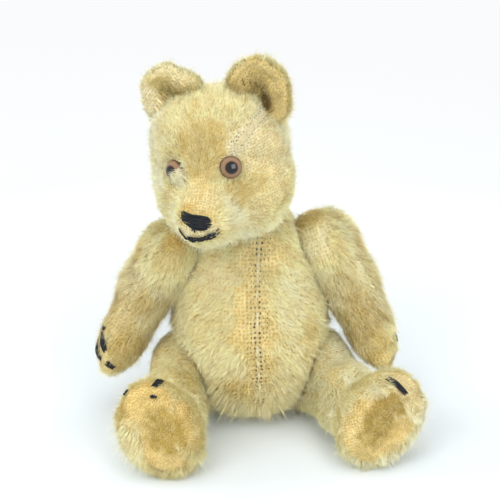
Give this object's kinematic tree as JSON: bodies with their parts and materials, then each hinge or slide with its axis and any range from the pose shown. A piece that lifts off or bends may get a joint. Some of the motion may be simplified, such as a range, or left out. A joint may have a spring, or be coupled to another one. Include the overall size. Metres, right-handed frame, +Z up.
{
  "type": "jointed teddy bear",
  "caption": "Small worn mohair teddy bear, seated, with a turning head, swinging arms and legs, glass eyes and a stitched nose and mouth.",
  "frame": {"origin": "middle of the flat seat under the torso, on the surface that the bear sits on", "axes": "+Z up, +X to the bear's own left, -Y the way that the torso faces"},
  "size_m": [0.098, 0.0703, 0.119],
  "materials": {
    "pile": "short pale gold mohair pile on a woven cotton backing, worn bald in places",
    "filling": "packed wood wool",
    "eye_glass": "glossy brown glass with a black pupil",
    "wire": "dull bent wire",
    "black_thread": "matt embroidery thread, faded and broken in places",
    "hardboard": "pressed fibre",
    "pin_steel": "dull, lightly tarnished"
  },
  "bodies": {
    "torso": {"hip_left_disc_torso_side": "hardboard", "hip_left_washer_torso_side": "pin_steel", "hip_right_disc_torso_side": "hardboard", "hip_right_washer_torso_side": "pin_steel", "neck_disc_torso_side": "hardboard", "neck_washer_torso_side": "pin_steel", "shoulder_left_disc_torso_side": "hardboard", "shoulder_left_washer_torso_side": "pin_steel", "shoulder_right_disc_torso_side": "hardboard", "shoulder_right_washer_torso_side": "pin_steel", "torso_cover": "pile", "torso_stuffing": "filling"},
    "head": {"ear_left": "pile", "ear_right": "pile", "eye_left": "eye_glass", "eye_right": "eye_glass", "eye_wire_left": "wire", "eye_wire_right": "wire", "head_cover": "pile", "head_stuffing": "filling", "mouth_stitching": "black_thread", "neck_disc_limb_side": "hardboard", "neck_split_pin": "pin_steel", "neck_washer_limb_side": "pin_steel", "nose_stitching": "black_thread"},
    "arm_left": {"arm_left_cover": "pile", "arm_left_stuffing": "filling", "paw_claw_left_1": "black_thread", "shoulder_left_disc_limb_side": "hardboard", "shoulder_left_split_pin": "pin_steel", "shoulder_left_washer_limb_side": "pin_steel"},
    "arm_right": {"arm_right_cover": "pile", "arm_right_stuffing": "filling", "paw_claw_right_1": "black_thread", "paw_claw_right_2": "black_thread", "paw_claw_right_3": "black_thread", "paw_claw_right_4": "black_thread", "shoulder_right_disc_limb_side": "hardboard", "shoulder_right_split_pin": "pin_steel", "shoulder_right_washer_limb_side": "pin_steel"},
    "leg_left": {"foot_claw_left_1": "black_thread", "hip_left_disc_limb_side": "hardboard", "hip_left_split_pin": "pin_steel", "hip_left_washer_limb_side": "pin_steel", "leg_left_cover": "pile", "leg_left_stuffing": "filling"},
    "leg_right": {"foot_claw_right_1": "black_thread", "foot_claw_right_2": "black_thread", "foot_claw_right_3": "black_thread", "hip_right_disc_limb_side": "hardboard", "hip_right_split_pin": "pin_steel", "hip_right_washer_limb_side": "pin_steel", "leg_right_cover": "pile", "leg_right_stuffing": "filling"}
  },
  "joints": [
    {"name": "neck_joint", "type": "hinge", "parent": "torso", "child": "head", "pos_m": [-0.0034, -0.001, 0.066], "axis": [-0.2079, -0.0523, 0.9767], "range_deg": [-90, 90]},
    {"name": "shoulder_left_joint", "type": "hinge", "parent": "torso", "child": "arm_left", "pos_m": [0.0165, 0.0005, 0.0525], "axis": [-0.91, 0, -0.4147], "range_deg": [-90, 90]},
    {"name": "shoulder_right_joint", "type": "hinge", "parent": "torso", "child": "arm_right", "pos_m": [-0.0177, 0.0005, 0.05], "axis": [-0.891, 0, 0.454], "range_deg": [-90, 90]},
    {"name": "hip_left_joint", "type": "hinge", "parent": "torso", "child": "leg_left", "pos_m": [0.0132, -0.0054, 0.0142], "axis": [-0.9131, -0.3689, 0.1736], "range_deg": [-90, 0]},
    {"name": "hip_right_joint", "type": "hinge", "parent": "torso", "child": "leg_right", "pos_m": [-0.0132, -0.0042, 0.0142], "axis": [-0.9727, 0.1541, -0.1736], "range_deg": [-90, 0]}
  ]
}
